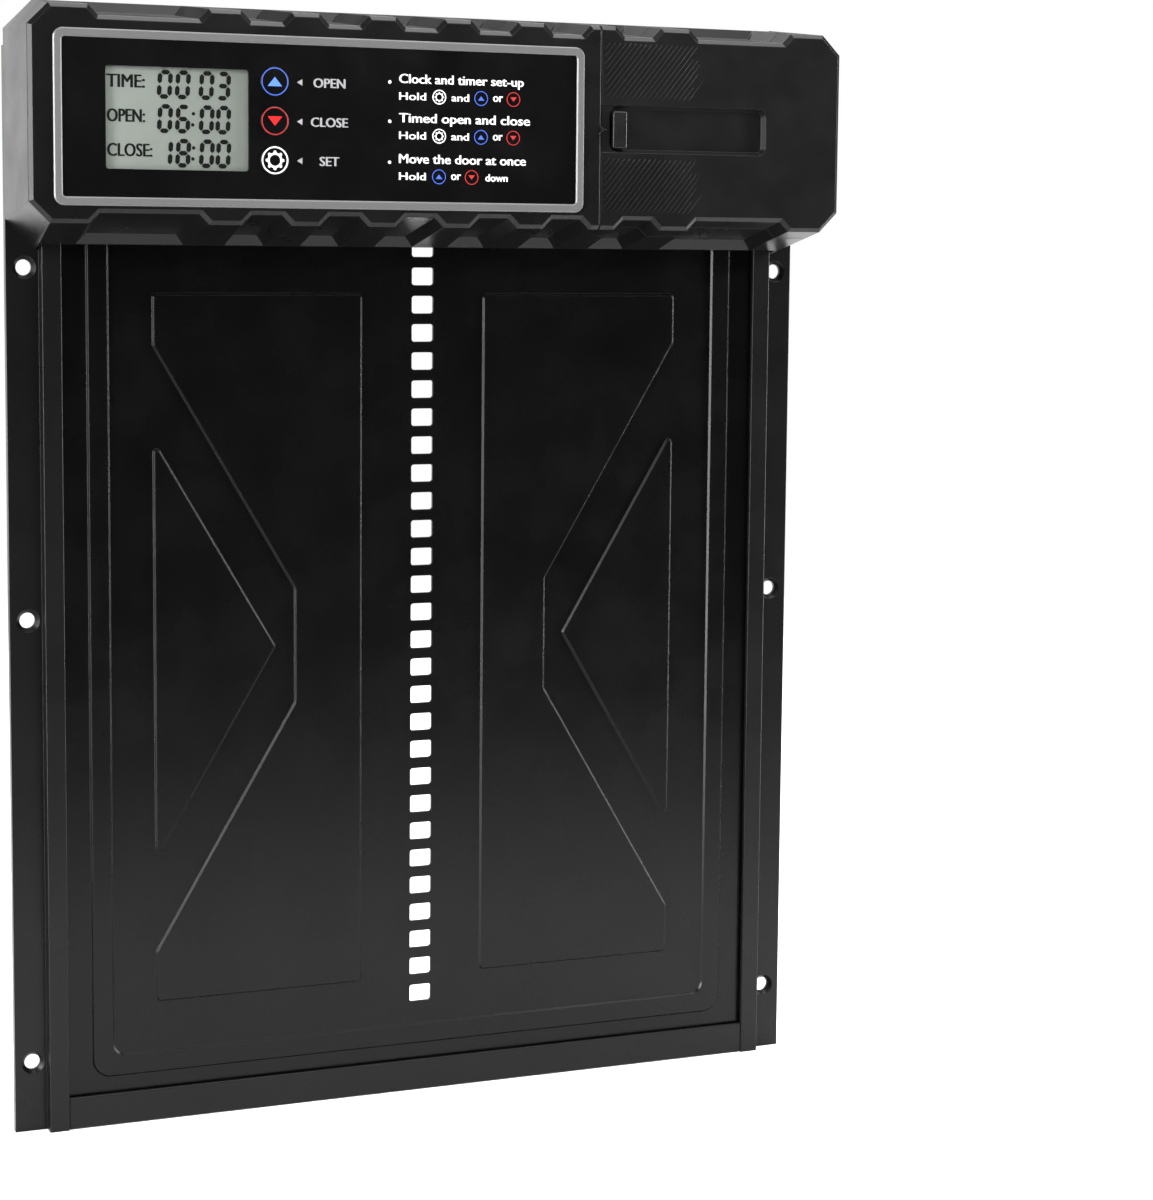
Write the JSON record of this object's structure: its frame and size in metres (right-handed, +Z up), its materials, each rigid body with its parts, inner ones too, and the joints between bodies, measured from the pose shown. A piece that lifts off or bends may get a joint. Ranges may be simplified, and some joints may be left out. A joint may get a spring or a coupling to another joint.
{
  "type": "automatic coop door",
  "caption": "Powered sliding coop door: perforated panel in two side rails, lifted by a sprocket in a top housing with a clock display, three buttons and a battery cover.",
  "frame": {"origin": "centre of the outer four mounting holes, on the wall plane (the rear face of the side flanges)", "axes": "+Z up along the rails, +X to the right seen from the front, the front faces -Y"},
  "size_m": [0.31, 0.043, 0.4063],
  "materials": {
    "rail_metal": "satin black powder coat on extruded aluminium",
    "panel_metal": "satin black painted sheet aluminium with pressed fields",
    "housing_plastic": "moulded black ABS, fine satin texture",
    "cover_plastic": "moulded charcoal ABS with a hatched face",
    "bezel_grey": "satin grey display ring",
    "overlay_black": "glossy black printed overlay",
    "button_black": "glossy black button with a printed ring",
    "clear_lens": "clear acrylic window",
    "lcd_grey": "greenish grey reflective liquid crystal display",
    "white_plastic": "natural nylon",
    "pcb_green": "solder-masked circuit board",
    "component_black": "electronic components",
    "zinc_steel": "zinc-plated steel",
    "brass": "machined brass",
    "bronze": "sintered bronze",
    "seal_rubber": "closed-cell foam strip",
    "cell_jacket": "plain printed cell jacket"
  },
  "bodies": {
    "frame": {"left_rail": "rail_metal", "right_rail": "rail_metal", "bottom_sill": "rail_metal", "sill_rivets": "zinc_steel", "front_shell": "housing_plastic", "shell_screws": "zinc_steel", "rear_cover": "housing_plastic", "rail_screws": "zinc_steel", "housing_seal": "seal_rubber", "gearbox_bracket": "zinc_steel", "bracket_screws": "zinc_steel", "axle_bushes": "bronze", "layshaft_pin": "zinc_steel", "gearmotor": "zinc_steel", "motor_screws": "zinc_steel", "display_bezel": "bezel_grey", "display_overlay": "overlay_black", "lcd_window": "clear_lens", "lcd_glass": "lcd_grey", "lcd_holder": "white_plastic", "control_board": "pcb_green", "board_components": "component_black", "board_screws": "zinc_steel", "tact_switches": "component_black", "battery_tray": "component_black", "aa_batteries": "cell_jacket", "battery_contacts": "zinc_steel", "battery_springs": "zinc_steel"},
    "door_panel": {"door_panel": "panel_metal"},
    "drive_shaft": {"drive_sprocket": "white_plastic", "sprocket_axle": "zinc_steel", "output_gear": "white_plastic"},
    "layshaft": {"compound_gear": "white_plastic"},
    "motor_shaft": {"motor_pinion": "brass"},
    "open_button": {"open_button": "button_black"},
    "close_button": {"close_button": "button_black"},
    "set_button": {"set_button": "button_black"},
    "battery_cover": {"battery_cover": "cover_plastic", "cover_hinge_pins": "zinc_steel", "latch_spring": "zinc_steel"},
    "cover_latch": {"cover_latch": "cover_plastic"}
  },
  "joints": [
    {"name": "panel_slide", "type": "slide", "parent": "frame", "child": "door_panel", "axis": [0, 0, 1], "range_m": [0, 0.315]},
    {"name": "sprocket_spin", "type": "hinge", "parent": "frame", "child": "drive_shaft", "pos_m": [0, -0.018, 0.1833], "axis": [1, 0, 0], "range_deg": [-1, 1355]},
    {"name": "layshaft_spin", "type": "hinge", "parent": "frame", "child": "layshaft", "pos_m": [0.005, -0.02622, 0.19875], "axis": [1, 0, 0], "range_deg": [-2030, 1]},
    {"name": "motor_spin", "type": "hinge", "parent": "frame", "child": "motor_shaft", "pos_m": [0.01, -0.02622, 0.21555], "axis": [1, 0, 0], "range_deg": [-1, 4922.86]},
    {"name": "open_button_press", "type": "slide", "parent": "frame", "child": "open_button", "axis": [0, 1, 0], "range_m": [0, 0.0004], "stiffness_N_per_m": 400, "springref_m": -0.001},
    {"name": "close_button_press", "type": "slide", "parent": "frame", "child": "close_button", "axis": [0, 1, 0], "range_m": [0, 0.0004], "stiffness_N_per_m": 400, "springref_m": -0.001},
    {"name": "set_button_press", "type": "slide", "parent": "frame", "child": "set_button", "axis": [0, 1, 0], "range_m": [0, 0.0004], "stiffness_N_per_m": 400, "springref_m": -0.001},
    {"name": "battery_cover_hinge", "type": "hinge", "parent": "frame", "child": "battery_cover", "pos_m": [0.1495, -0.0368, 0.1962], "axis": [0, 0, 1], "range_deg": [0, 90]},
    {"name": "cover_latch_slide", "type": "slide", "parent": "battery_cover", "child": "cover_latch", "axis": [1, 0, 0], "range_m": [0, 0.003], "stiffness_N_per_m": 300, "springref_m": -0.002, "deforming": ["latch_spring"]}
  ],
  "couplings": [
    {"joint": "sprocket_spin", "follows": "panel_slide", "rad_per_m": 74.8},
    {"joint": "layshaft_spin", "follows": "panel_slide", "rad_per_m": -112.2},
    {"joint": "motor_spin", "follows": "panel_slide", "rad_per_m": 272.49}
  ]
}
